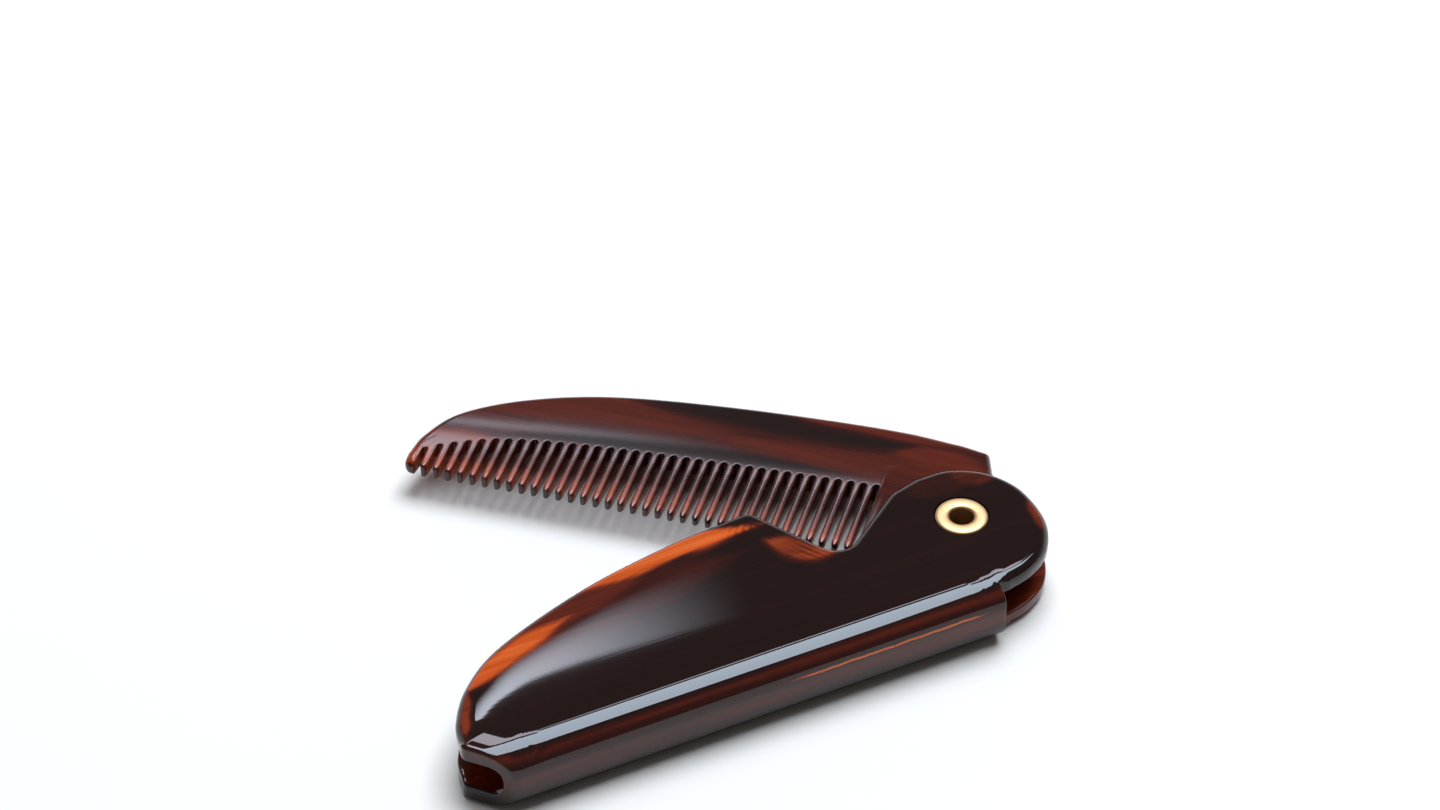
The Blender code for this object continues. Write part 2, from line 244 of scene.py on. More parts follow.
def middle_points(lower, upper, knots, start, end):
    """A middle point for each sample of the closed loop lower + upper: its x follows the
    mean x of the pair, squeezed between start and end, and its y a curve through knots."""
    mean = (lower[:, 0] + upper[:, 0]) / 2
    x = start + (end - start) * (mean - mean[0]) / (mean[-1] - mean[0])
    curve = smooth(knots)
    line = np.column_stack([x, np.interp(x, curve[:, 0], curve[:, 1])])
    return np.vstack([line, line[-2:0:-1]])


def closed_loop(lower, upper):
    """Anticlockwise loop: the lower side to the right, then the upper side back."""
    return np.vstack([lower, upper[-2:0:-1]])


print("a loop from two sides of 5 samples has", len(closed_loop(np.zeros((5, 2)), np.ones((5, 2)))))

# %% [markdown]
# ## Acetate case: outline of a cover
#
# The real case starts as one flat sheet, is warmed and folded over a former, and is then filed
# to shape with both covers together. So one outline serves both covers: a slanting cut at the
# left, a long rising edge, a hump, the notch for a finger nail, and a round end at the pivot.

# %% The cover's outline
SPINE_Y = -13.1
SPINE_END_X = -1.3
SPINE_INNER_Y = -11.1
RISING_EDGE = [
    (-65.0, -7.6),
    (-64.1, -4.3),
    (-61.1, 0.0),
    (-55.4, 4.15),
    (-43.6, 8.45),
    (-32.5, 10.7),
    (-24.6, 11.5),
]
HUMP = (-21.2, 11.75, 1.5)
NOTCH = (-14.9, 0.4, 2.4)
NOTCH_EXIT = (-5.3, 7.4, 4.0)
SPINE_LEFT = (-61.1, SPINE_Y, 1.1)
LEFT_CUT = (-65.15, -8.55, 1.1)
ROUND_END = [
    (-1.5, 8.35),
    (2.6, 8.1),
    (6.3, 5.9),
    (8.5, 2.3),
    (8.95, -1.9),
    (8.3, -5.3),
    (6.3, -8.4),
    (3.3, -10.3),
    (0.0, -11.2),
]
FARTHEST_KNOT = 4
COVER_MIDDLE = [
    (-60, -7),
    (-50, -3.5),
    (-35, -2),
    (-22, -3),
    (-14.9, -6),
    (-8, -5),
    (0, -2.5),
    (4.5, -2),
]
MOUTH_RADIUS = 0.28
MOUTH_SHIFT = 0.8
INNER_RADIUS = 0.05
CUT_POINTS, WEB_POINTS, END_POINTS = 31, 272, 71

round_end = smooth(ROUND_END)
split = FARTHEST_KNOT * 12
open_edge = np.vstack([
    smooth(RISING_EDGE),
    fillet(RISING_EDGE[-1], HUMP, NOTCH),
    fillet(HUMP, NOTCH, NOTCH_EXIT),
    fillet(NOTCH, NOTCH_EXIT, ROUND_END[0]),
    round_end[:split + 1],
])
left_cut = fillet(RISING_EDGE[0], LEFT_CUT, SPINE_LEFT)
left_corner = fillet(LEFT_CUT, SPINE_LEFT, (0, SPINE_Y))
end_corner = fillet((-60, SPINE_Y), (SPINE_END_X, SPINE_Y, 0.2), (SPINE_END_X, 0), 6)
inner_corner = fillet(end_corner[-1], (SPINE_END_X, SPINE_INNER_Y, INNER_RADIUS), ROUND_END[-1], 6)
cut_slope = unit(left_corner[0] - left_cut[-1])
web_y = SPINE_INNER_Y - MOUTH_SHIFT - MOUTH_RADIUS
web_start = left_cut[-1] + cut_slope * (web_y - left_cut[-1, 1]) / cut_slope[1]

to_web = along(np.vstack([RISING_EDGE[:1], left_cut, [web_start]]), CUT_POINTS, 1.0)
web = along(np.vstack([[web_start], left_corner, end_corner, inner_corner[:1]]), WEB_POINTS, 1.5)
to_far_end = along(np.vstack([inner_corner, round_end[split:][::-1]]), END_POINTS, 0.5)
cover_lower = np.vstack([to_web, web[1:], to_far_end[1:]])
cover_upper = along(open_edge, len(cover_lower), 1.0)
cover_loop = closed_loop(cover_lower, cover_upper)
print("the cover's outline has", len(cover_loop), "samples")

# %% [markdown]
# ## Acetate case: height of the outside and of the slot
#
# The outside of a cover is flat in the middle, with edges rounded on a buffing wheel. Towards
# the spine it turns down in the fold. A buffed fold isn't a true circle: it starts gently and
# ends tighter, so the section is a quarter ellipse. The slot inside keeps the former's shape,
# with rounded corners at the spine.

# %% Heights of the case
RIM_RADIUS = 1.0
LEFT_RADIUS = 0.35
CUT_RADIUS = 0.2
FOLD_WIDTH, FOLD_HEIGHT = 3.1, 2.9
SLOT_HALF = 1.85
SLOT_CORNER = 1.3
SLOT_CORNER_Y = SPINE_INNER_Y + SLOT_CORNER
SQUARE_END = (1.5, 6.0)
PILLOW = 0.2
PILLOW_REACH = 1.3
CORNER_GROWTH = 2.2

rim_path = np.vstack([cover_upper, to_far_end[::-1]])
left_path = np.vstack([left_corner[::-1], left_cut[::-1], cover_upper[:1]])
cut_path = np.vstack([end_corner, inner_corner[:1]])


def cover_height(plan):
    """Top, less the quarter ellipse of the fold, less the rounded rim, less a slight pillow
    that dies away with the distance from the rim. The rim is tighter at the left cut, and
    grows from nothing over CORNER_GROWTH from the corner where the spine is cut off."""
    d, d_left = distance(plan, rim_path), distance(plan, left_path)
    fold = roll(plan[..., 1] - SPINE_Y, FOLD_WIDTH, FOLD_HEIGHT)
    from_corner = np.hypot(plan[..., 0] - SPINE_END_X, plan[..., 1] - SPINE_INNER_Y)
    grown = ease(from_corner, 0, CORNER_GROWTH)
    rim = np.maximum(roll(d, RIM_RADIUS) * grown, roll(d_left, LEFT_RADIUS))
    rim = rim + roll(distance(plan, cut_path), CUT_RADIUS)
    return CASE_TOP - fold - rim - PILLOW * np.exp(-np.minimum(d, d_left) / PILLOW_REACH)


def shifted(x):
    """How much nearer to the spine's face the slot runs at its left end, where the maker
    files it wider: nothing up to 45 mm from the pivot, MOUTH_SHIFT beyond 60 mm."""
    return MOUTH_SHIFT * ease(-x, 45, 60)


def slot_height(plan):
    """Half of the slot's height above the middle: flat, then a quarter circle down to the
    inner wall, which opens into a square corner near the spine's cut end."""
    inside = np.clip(SLOT_CORNER_Y - shifted(plan[..., 0]) - plan[..., 1], 0, SLOT_CORNER)
    drop = SLOT_CORNER - np.sqrt(SLOT_CORNER ** 2 - inside ** 2)
    return MIDDLE + SLOT_HALF - drop * ease(-plan[..., 0], *SQUARE_END)


def raised(plan, height):
    """Plan points (x, y) and heights put together as points in space."""
    height = np.broadcast_to(np.asarray(height, float), plan.shape[:-1])
    return np.concatenate([plan, height[..., None]], -1)


# %% The outside of the case
# The first rows reach as far in as the rounding beside them, and change over smoothly where
# one kind of edge meets the next.
d_rim, d_left, d_cut = (distance(cover_loop, edge) for edge in (rim_path, left_path, cut_path))
reaches = [RIM_RADIUS + 0.7 * d_rim, LEFT_RADIUS + 0.7 * d_left, 0.25 + 0.8 * d_cut]
cover_reach = np.minimum(FOLD_WIDTH, np.min(reaches, 0))
cover_normal = inward(cover_loop, 2)
cover_middle = middle_points(cover_lower, cover_upper, COVER_MIDDLE, -60, 4.5)
cover_plan = rows_inward(cover_loop, cover_normal, cover_reach, cover_middle, 7, 15)
cover_grid = raised(cover_plan, cover_height(cover_plan))
outline_top = cover_grid[0, :-1]
lowest = round(cover_grid[..., 2].min(), 2)
print("the cover's grid is", cover_grid.shape[:2], "points, lowest at", lowest, "mm")

# %% [markdown]
# ## Acetate case: the slot's mouth
#
# Where the slot comes out at the left end, its edge is softened by the polishing. The mouth is a
# path on the outline, from the spine's cut end round the open edge to the slanting cut. A
# quarter turn carries it from the outer wall into the slot.

# %% Walls, mouth and slot
WALL_ROWS, WEB_ROWS, SLOT_ROWS = 5, 3, 14
first_web, last_web = len(to_web) - 1, len(to_web) + len(web) - 2
mouth = np.r_[last_web:len(cover_loop), 0:first_web + 1]
web_index = np.arange(first_web, last_web + 1)

on_loop = cover_loop[mouth]
from_end = np.r_[0, np.cumsum(np.hypot(*np.diff(on_loop, axis=0).T))]
at_left = np.arange(len(mouth)) > len(mouth) - len(to_web) - 1
rise = (SLOT_CORNER_Y - MOUTH_SHIFT - on_loop[:, 1]) / (SLOT_CORNER + MOUTH_RADIUS)
rise = np.clip(rise, 0, 1) * at_left
lean = np.sqrt(1 - rise ** 2)
radius = INNER_RADIUS + (MOUTH_RADIUS - INNER_RADIUS) * ease(from_end, 0, 1.5)
step_in = radius[:, None] * (cover_normal[mouth] * lean[:, None] + rise[:, None])
step_in[0] = [-INNER_RADIUS, SPINE_INNER_Y - on_loop[0, 1]]
slot_edge = raised(on_loop + step_in, slot_height(on_loop + step_in))
face_edge = raised(on_loop, MIDDLE + SLOT_HALF + radius - (SLOT_CORNER + radius) * (1 - lean))
up_cut = np.array([-cut_slope[0] / -cut_slope[1], 1.0])
on_face = radius[:, None] * np.column_stack([rise * up_cut[0], rise, -lean])


def wall_down(top, bottom, rows):
    """Straight wall: rows of points from a top edge to a bottom edge, evenly spaced."""
    share = np.linspace(0, 1, rows + 1)[:, None, None]
    return top + (bottom - top) * share


def carried_down(path):
    """A path with its last point carried down to the middle plane in WEB_ROWS steps."""
    drop = np.array([*path[-1, :2], MIDDLE]) - path[-1]
    return np.vstack([path, path[-1] + drop * np.linspace(0, 1, WEB_ROWS + 1)[1:, None]])


def both_ends(path):
    """A path along the mouth with both of its ends carried down to the middle plane."""
    return carried_down(carried_down(path)[::-1])[::-1]


def repeat_ends(values):
    """Values along the mouth, with the first and the last repeated for the added points."""
    return np.vstack([values[:1]] * WEB_ROWS + [values] + [values[-1:]] * WEB_ROWS)


face_path, slot_path = both_ends(face_edge), both_ends(slot_edge)
within_face = repeat_ends(on_face)
within_face[:WEB_ROWS] = [0, INNER_RADIUS, 0]
turn = np.linspace(0, math.pi / 2, 5)[:, None, None]
across = slot_path - face_path - within_face
lip = face_path + across * (1 - np.cos(turn)) + within_face * np.sin(turn)

# The web's upper edge starts at the height of the mouth at the spine's cut end, and goes over
# to that at the left within a millimetre or two.
web_share = np.exp(-np.hypot(*(cover_loop[web_index] - cover_loop[last_web]).T) / 0.8)
web_low = face_edge[-1, 2] + (face_edge[0, 2] - face_edge[-1, 2]) * web_share
web_low[[0, -1]] = face_edge[-1, 2], face_edge[0, 2]
web_edge = raised(cover_loop[web_index], web_low)
mouth_wall = wall_down(outline_top[mouth], face_edge, WALL_ROWS)
web_wall = wall_down(outline_top[web_index], web_edge, WALL_ROWS)
web_foot = wall_down(web_edge, raised(cover_loop[web_index], MIDDLE), WEB_ROWS)
print("the mouth has", len(mouth), "samples and the web", len(web_index))

# %% The slot's ceiling and its inner wall
# The ceiling's rows are spaced evenly along the section, round its corner too: unrolled is the
# length along the section, and its sine gives back the place in plan.
wall_x = slot_edge[0, 0] + (slot_edge[-1, 0] - slot_edge[0, 0]) * from_end / from_end[-1]
slot_y = slot_edge[:, 1] + shifted(slot_edge[:, 0])
sunk = np.clip((SLOT_CORNER_Y - slot_y) / SLOT_CORNER, 0, 1)
unrolled = np.where(slot_y > SLOT_CORNER_Y, slot_y, SLOT_CORNER_Y - SLOT_CORNER * np.arcsin(sunk))
end_unrolled = SLOT_CORNER_Y - SLOT_CORNER * math.pi / 2
share = np.linspace(0, 1, SLOT_ROWS)[:, None]
q = unrolled + (end_unrolled - unrolled) * share
in_corner = SLOT_CORNER_Y - SLOT_CORNER * np.sin((SLOT_CORNER_Y - q) / SLOT_CORNER)
y = np.where(q > SLOT_CORNER_Y, q, in_corner)
y = y + (slot_y - y[0]) * (1 - share)
x = slot_edge[:, 0] + (wall_x - slot_edge[:, 0]) * share
slot_plan = np.stack([x, y - shifted(x)], -1)
ceiling = raised(slot_plan, slot_height(slot_plan))
inner_wall = wall_down(ceiling[-1], raised(slot_plan[-1], MIDDLE), WEB_ROWS)

case_grids = both_halves([cover_grid, mouth_wall, web_wall, web_foot, lip, ceiling, inner_wall])
case = skin("acetate_case", case_grids)

# %% [markdown]
# ## Holes for the eyelet
#
# The maker drills both covers and the comb together and sinks the eyelet's rolled ends into
# shallow seats. A turned plug, subtracted from the piece, leaves the hole and both seats.


# %% Turned pieces and drilled holes
def turned(name, profile, sides):
    """Surface of revolution about the pivot: each profile point (r, z) at even angles."""
    profile = np.array(profile, float)
    angle = np.linspace(0, 2 * math.pi, sides + 1)[:, None]
    grid = np.stack([
        profile[:, 0] * np.cos(angle),
        profile[:, 0] * np.sin(angle),
        np.broadcast_to(profile[:, 1], (sides + 1, len(profile))),
    ], -1)
    return skin(name, [grid])


def drill(piece, profile):
    """Subtracts a turned plug from a piece and keeps the result as the piece's mesh."""
    plug = turned("plug", profile, 96)
    boolean = piece.modifiers.new("drill", "BOOLEAN")
    boolean.operation, boolean.object = "DIFFERENCE", plug
    graph = bpy.context.evaluated_depsgraph_get()
    mesh = bpy.data.meshes.new_from_object(piece.evaluated_get(graph))
    piece.modifiers.clear()
    piece.data = mesh
    bpy.data.objects.remove(plug, do_unlink=True)
    mesh.shade_smooth()
    mesh.set_sharp_from_angle(angle=math.radians(40))


SEAT_RADIUS, SEAT_DEPTH, HOLE_RADIUS = 3.2, 0.5, 2.0
seat_top = CASE_TOP - SEAT_DEPTH
drill(case, [
    (0, -1), (SEAT_RADIUS, -1), (SEAT_RADIUS, SEAT_DEPTH + 0.3), (HOLE_RADIUS, SEAT_DEPTH + 0.3),
    (HOLE_RADIUS, seat_top), (SEAT_RADIUS, seat_top), (SEAT_RADIUS, CASE_TOP + 1), (0, CASE_TOP + 1),
])
print("case after drilling:", len(case.data.polygons), "faces")

# %% [markdown]
# ## Acetate comb: blank and saw cuts
#
# A comb maker saws each gap with a thin disc, so every gap is a parallel slot with a round root,
# and the teeth are what is left. The blade is thick along its back. Over the teeth both faces
# are ground to a wedge, so that the tips are thin enough to part hair.

# %% The comb's outline with its teeth
COMB_HALF = 1.55
TOOTH_PITCH, TOOTH_GAP = 1.5, 0.68
FIRST_TOOTH_X = -64.56
GAP_COUNT = 36
ROOT_RADIUS = TOOTH_GAP / 2
TOOTH_ROOTS = [
    (-64.6, -4.6),
    (-62.0, -2.8),
    (-55.7, 0.0),
    (-45.8, 1.9),
    (-30.7, 3.6),
    (-11.0, 5.3),
]
TOOTH_TIPS = [(-64.5, -7.1), (-10.2, -5.2)]
COMB_BACK = [
    (-65.6, -5.4),
    (-64.9, -1.7),
    (-62.0, 3.2),
    (-55.0, 7.9),
    (-45.0, 11.5),
    (-30.0, 13.95),
    (-13.0, 15.4),
    (-3.6, 15.15),
]
SHOULDER = (-0.2, 14.6, 0.9)
STEP = (1.0, 11.3, 1.6)
TANG_CORNER = (7.0, 6.5, 5.0)
COMB_TIP = (-65.4, -7.15, 1.0)
HEEL = (-10.2, -5.2, 1.0)
TANG_RADIUS = 8.6
BLADE_MIDDLE = [
    (-63.6, -2.6),
    (-62, 0.2),
    (-55.7, 3.7),
    (-45.8, 6.6),
    (-30.7, 8.7),
    (-16, 9.6),
    (-8, 7),
    (-2, 2),
    (2.7, 0),
]
ACROSS_TOOTH = np.array([-1, -0.93, -0.75, -0.42, 0, 0.42, 0.75, 0.93, 1])
TOOTH_ROWS, GAP_STEPS, HEEL_POINTS = 14, 6, 121
TO_HEEL = 8

gap_x = FIRST_TOOTH_X + (np.arange(GAP_COUNT) + 0.5) * TOOTH_PITCH
root_curve = smooth(TOOTH_ROOTS)
root_y = np.interp(gap_x, root_curve[:, 0], root_curve[:, 1]) - ROOT_RADIUS
turn = np.linspace(math.pi, 0, GAP_STEPS + 1)
gap_arcs = np.stack([
    gap_x[:, None] + ROOT_RADIUS * np.cos(turn),
    root_y[:, None] + ROOT_RADIUS * np.sin(turn),
], -1)
gap_arcs[:, [0, -1], 1] = root_y[:, None]
left_root, right_root = gap_arcs[:-1, -1], gap_arcs[1:, 0]
mix = ((ACROSS_TOOTH + 1) / 2)[:, None]
tooth_roots = left_root[:, None] * (1 - mix) + right_root[:, None] * mix
width, longest = float(np.ptp(tooth_roots[0, :, 0])), float(root_y.max() - HEEL[1])
print("tooth width", round(width, 2), "mm, longest tooth", round(longest, 1), "mm")

# %% The two sides of the blank
back_curve = smooth(COMB_BACK)
guard_y = root_y[0]
guard_root = np.array([np.interp(guard_y, back_curve[:, 1], back_curve[:, 0]), guard_y])
beside_heel = gap_arcs[-1, -1]
heel_tip = (beside_heel[0], TOOTH_TIPS[1][1], 0.25)
heel_path = np.vstack([
    [beside_heel],
    fillet(beside_heel, heel_tip, HEEL, TO_HEEL - 2),
    fillet(heel_tip, HEEL, arc(TANG_RADIUS, -118, -118, 1)[0]),
    arc(TANG_RADIUS, -118, 0, 40),
])
guard_line = guard_root + (gap_arcs[0, 0] - guard_root) * np.linspace(0, 1, 9)[:, None]
cut_and_root = np.concatenate([gap_arcs[:-1, :-1], tooth_roots[:, :-1]], 1)
toothed = np.vstack([cut_and_root.reshape(-1, 2), gap_arcs[-1, :-1]])
blade_lower = np.vstack([guard_line[:-1], toothed, along(heel_path, HEEL_POINTS, 0.5)])
upper_path = np.vstack([
    [guard_root],
    back_curve[back_curve[:, 1] > guard_y],
    fillet(COMB_BACK[-1], SHOULDER, STEP),
    fillet(SHOULDER, STEP, TANG_CORNER),
    fillet(STEP, TANG_CORNER, arc(TANG_RADIUS, 20, 20, 1)[0]),
    arc(TANG_RADIUS, 20, 0, 8),
])
blade_upper = along(upper_path, len(blade_lower), 0.6)
blade_loop = closed_loop(blade_lower, blade_upper)
print("the blank's outline has", len(blade_loop), "samples")

# %% [markdown]
# ## Acetate comb: the shape of a tooth
#
# A sawn tooth has flat sides. The maker then rounds the tips on a belt and polishes the edges
# with a soft wheel and pumice, so a tooth ends like a bullet and no edge is left to scratch.


# %% Plans of the teeth and of the guard at the tip
def bullet(to_tip):
    """Share of a tooth's full width at a distance from its tip: a quarter ellipse that
    starts from a small flat."""
    return 0.28 + 0.72 * np.sqrt(1 - (1 - np.clip(to_tip / 0.9, 0, 1)) ** 2)


down = 1 - (1 - np.linspace(0, 1, TOOTH_ROWS + 1)) ** 1.7
tips = np.array(TOOTH_TIPS)
tooth_x = tooth_roots.mean(1)[:, 0]
tip_y = np.interp(tooth_x, tips[:, 0], tips[:, 1])
teeth_y = tooth_roots[:, None, :, 1] * (1 - down[:, None]) + tip_y[:, None, None] * down[:, None]
half_width = (TOOTH_PITCH - TOOTH_GAP) / 2 * bullet(teeth_y - tip_y[:, None, None])
teeth_x = tooth_x[:, None, None] + half_width * ACROSS_TOOTH
teeth_x[:, 0] = tooth_roots[:, :, 0]
teeth_plan = np.stack([teeth_x, teeth_y], -1)

guard_turn = fillet(HEEL, COMB_TIP, COMB_BACK[0])[::-1]
guard_left = np.vstack([[guard_root, COMB_BACK[0]], guard_turn])
guard_left = along(guard_left, TOOTH_ROWS + 1, 0.5)
guard_end = (gap_arcs[0, 0, 0], TOOTH_TIPS[0][1], 0.2)
guard_right = np.vstack([gap_arcs[:1, 0], fillet(gap_arcs[0, 0], guard_end, guard_left[-1], 6)])
guard_right = along(guard_right, TOOTH_ROWS + 1, 0.5)
mix = np.linspace(0, 1, 9)[:, None]
guard_plan = guard_left[:, None] * (1 - mix) + guard_right[:, None] * mix
print(len(teeth_plan), "teeth and the guard,", TOOTH_ROWS, "rows each")


# %% The comb's heights
PANEL_LINE = [(-68, -1.5), (-62, 0.9), (-55, 2.0), (-45, 3.3), (-30, 4.7), (-9.6, 6.2), (0, 6.6)]
TAPER = math.tan(math.radians(4.65))
PANEL_SOFTNESS = 3.5
PANEL_END = (10.9, 9.8)
BACK_RADIUS, TOOTH_RADIUS, SAWN_RADIUS = 0.9, 0.28, 0.1


def perimeter(plan):
    """Left edge, tip and right edge of a tooth's grid as one path, root to root."""
    return np.concatenate([plan[:, 0], plan[-1, 1:-1], plan[::-1, -1]])


def half_thickness(plan):
    """Half of the blade's thickness: full, less the wedge ground off below the panel's
    line. The wedge sets in softly, as half of depth + sqrt(depth^2 + softness^2)."""
    line = smooth(PANEL_LINE)
    depth = np.interp(plan[..., 0], line[:, 0], line[:, 1]) - plan[..., 1]
    ground = TAPER * (depth + np.sqrt(depth ** 2 + PANEL_SOFTNESS ** 2)) / 2
    return COMB_HALF - ground * ease(-plan[..., 0], PANEL_END[1], PANEL_END[0])


sawn = [np.vstack([gap, perimeter(tooth)]) for gap, tooth in zip(gap_arcs, teeth_plan)]
tooth_path = np.vstack([guard_right[::-1], *sawn, gap_arcs[-1], heel_path[:TO_HEEL]])
back_path = np.vstack([guard_left[::-1], upper_path, heel_path[TO_HEEL:][::-1]])


def blade_height(plan):
    """Middle plane plus half of the thickness, less the rounding towards the teeth and the
    wider rounding of the back. The wheel reaches the tips but not the ends of the cuts,
    so the teeth's rounding shrinks to SAWN_RADIUS there."""
    half = half_thickness(plan)
    below = np.interp(plan[..., 0], root_curve[:, 0], root_curve[:, 1]) - plan[..., 1]
    teeth = SAWN_RADIUS + (TOOTH_RADIUS - SAWN_RADIUS) * ease(below, 0.3, 3.5)
    back = roll(distance(plan, back_path), BACK_RADIUS, np.minimum(BACK_RADIUS, half - 0.3))
    return MIDDLE + half - roll(distance(plan, tooth_path), teeth) - back


# %% The comb's skin
# The rows step inwards from a plain loop, which runs straight across the gaps.
plain_loop = blade_loop.copy()
from_guard = len(guard_line) - 1
period = GAP_STEPS + len(ACROSS_TOOTH) - 1
for step_in_gap in range(1, GAP_STEPS):
    rows = from_guard + step_in_gap + period * np.arange(GAP_COUNT)
    plain_loop[rows, 1] = root_y
blade_normal = inward(plain_loop, 3)
blade_reach = np.minimum(BACK_RADIUS, TOOTH_RADIUS + 0.6 * distance(blade_loop, tooth_path))
blade_middle = middle_points(blade_lower, blade_upper, BLADE_MIDDLE, -63.4, 2.7)
blade_plan = rows_inward(blade_loop, blade_normal, blade_reach, blade_middle, 6, 12)
blade_grid = raised(blade_plan, blade_height(blade_plan))
teeth_grids = raised(teeth_plan, blade_height(teeth_plan))
guard_grid = raised(guard_plan, blade_height(guard_plan))

loop_top = blade_grid[0, :-1]
edge_run = [perimeter(guard_grid)]
for k in range(GAP_COUNT):
    start = from_guard + period * k
    edge_run.append(loop_top[start:start + GAP_STEPS + 1])
    if k < GAP_COUNT - 1:
        edge_run.append(perimeter(teeth_grids[k]))
edge_run = np.vstack([*edge_run, loop_top[start + GAP_STEPS:], loop_top[:1]])
edge_wall = np.stack([edge_run, edge_run * [1, 1, 0] + [0, 0, MIDDLE]])
comb = skin("acetate_comb", both_halves([blade_grid, *teeth_grids, guard_grid, edge_wall]), OPEN_ANGLE)
drill(comb, [(0, -1), (HOLE_RADIUS, -1), (HOLE_RADIUS, CASE_TOP + 1), (0, CASE_TOP + 1)])
print("comb after drilling:", len(comb.data.polygons), "faces")

# %% [markdown]
# ## Brass eyelet
#
# An eyelet is a short brass tube whose ends are rolled outwards by a punch. The roll leaves a
# domed ring, highest in the middle of its width, that dips into the bore. Its profile is one
# closed line turned about the pivot.

# %% The eyelet
BORE_RADIUS, BARREL_RADIUS, FLANGE_RADIUS = 1.43, 1.85, 3.05
PROUD, FLANGE = 0.15, 0.5
DOME_DEPTH, DOME_POWER = 0.42, 0.75


def rolled_end(top, sign):
    """Profile of a rolled end from the barrel's outside to the bore: flat under the flange,
    then a dome with the cosine and sine of a half turn raised to DOME_POWER, which makes
    it fuller than an ellipse. Its inner half dips into the bore."""
    angle = np.linspace(0, math.pi, 25)
    centre, width = (FLANGE_RADIUS + BORE_RADIUS) / 2, (FLANGE_RADIUS - BORE_RADIUS) / 2
    dome = np.column_stack([
        centre + width * np.sign(np.cos(angle)) * np.abs(np.cos(angle)) ** DOME_POWER,
        top - sign * DOME_DEPTH * (1 - np.sin(angle) ** DOME_POWER),
    ])
    under = [(BARREL_RADIUS, top - sign * FLANGE), (FLANGE_RADIUS - 0.05, top - sign * FLANGE)]
    return np.vstack([under, dome])


upper_end = rolled_end(CASE_TOP + PROUD, 1)
lower_end = rolled_end(PROUD, -1)
profile = np.vstack([upper_end, lower_end[::-1], upper_end[:1]])
eyelet = turned("brass_eyelet", profile, 96)
eyelet.data.set_sharp_from_angle(angle=math.radians(50))

# %% [markdown]
# ## Pieces on their bodies
#
# The real eyelet is set through both covers, so it belongs to the handle, and only the blade
# turns on it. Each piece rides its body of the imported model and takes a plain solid's place,
# so the hinge moves the dressed part as it moves the solids.

# %% Pieces on their bodies
DRESSED = [(case, "case", "handle"), (comb, "comb", "blade"), (eyelet, "eyelet", "handle")]
for piece, node, body in DRESSED:
    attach(piece, body)
    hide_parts(node)
    print(piece.name, "rides", body, "in place of", node)


# %% [markdown]
# ## Finishes
#
# Colours are given as sRGB hex values, as a colour picker shows them, and turned to the linear
# values that a shader needs.

# %% Colour and node tools
def linear(hex_colour):
    """sRGB to linear: c / 12.92 below 0.04045, else ((c + 0.055) / 1.055) ^ 2.4."""
    value = np.array([int(hex_colour[i:i + 2], 16) for i in (1, 3, 5)]) / 255
    out = np.where(value <= 0.04045, value / 12.92, ((value + 0.055) / 1.055) ** 2.4)
    return (*out.tolist(), 1.0)


def add(tree, kind, inputs=(), stops=(), **settings):
    """Adds a node and sets its properties. An input is linked if its value is the output of
    another node, and set to the value otherwise. Stops (position, hex colour) fill a ramp."""
    node = tree.nodes.new("ShaderNode" + kind)
    for key, value in settings.items():
        setattr(node, key, value)
    for _ in stops[2:]:
        node.color_ramp.elements.new(0.5)
    for element, (position, colour) in zip(node.color_ramp.elements if stops else (), stops):
        element.position, element.color = position, linear(colour)
    for socket, source in dict(inputs).items():
        if hasattr(source, "is_output"):
            tree.links.new(source, node.inputs[socket])
        else:
            node.inputs[socket].default_value = source
    return node


def smooth_step(tree, value, low, high):
    """Output that goes smoothly from 0, where the value is low, to 1, where it is high."""
    limits = {"Value": value, "From Min": low, "From Max": high}
    return add(tree, "MapRange", limits, interpolation_type="SMOOTHSTEP").outputs[0]


def combined(tree, operation, *values):
    """Output of a Math node that works on the values in their order."""
    return add(tree, "Math", enumerate(values), operation=operation).outputs[0]


def new_finish(name, settings):
    """A material and its node tree, with constant inputs of the Principled shader set."""
    finish = bpy.data.materials.new(name)
    finish.use_nodes = True
    shader = finish.node_tree.nodes["Principled BSDF"]
    for socket, value in settings.items():
        shader.inputs[socket].default_value = value
    return finish, finish.node_tree, shader


print("amber acetate in linear values:", np.round(linear("#bd4a17")[:3], 3))

# %% [markdown]
# ## Tortoiseshell acetate
#
# The sheet is pressed from scraps of nearly black, red and amber acetate, so its colour lies in
# long streaks along the piece. The large patches are placed where the real piece has them, as a
# shade at each point of the mesh. Some marks are painted light and shade instead: a dark streak
# just above the comb's roots, lighter tips, tang and slot faces, and a glowing line on the spine.
# A noise that is stretched along the piece breaks their edges up, and a colour ramp turns the sum
# to black, oxblood, rust or amber.


# %% Shade of each point
def own_frame(piece, turn):
    """The piece's points in its own frame, in mm: the pivot's place off, then turned back."""
    flat = np.empty(len(piece.data.vertices) * 3)
    piece.data.vertices.foreach_get("co", flat)
    c, s = math.cos(turn), math.sin(turn)
    return (flat.reshape(-1, 3) / MM - [*PIVOT, 0]) @ np.array([[c, -s, 0], [s, c, 0], [0, 0, 1]])


def streaked(plan, shade, table):
    """Shade from 0, nearly black, to 1, amber. Each streak (path, half width, softness,
    shade) pulls the shade to its own inside its half width, and softly beyond it. Its
    width runs out to nothing over the first and the last 40 % of its length."""
    for path, half_width, softness, level in table:
        away, share = nearest(plan, np.array(path, float))
        full = ease(share, 0, 0.4) * ease(1 - share, 0, 0.4)
        half = (half_width + softness) * full - softness
        weight = 1 - ease(away - half, 0, softness)
        shade = shade + (level - shade) * weight
    return shade


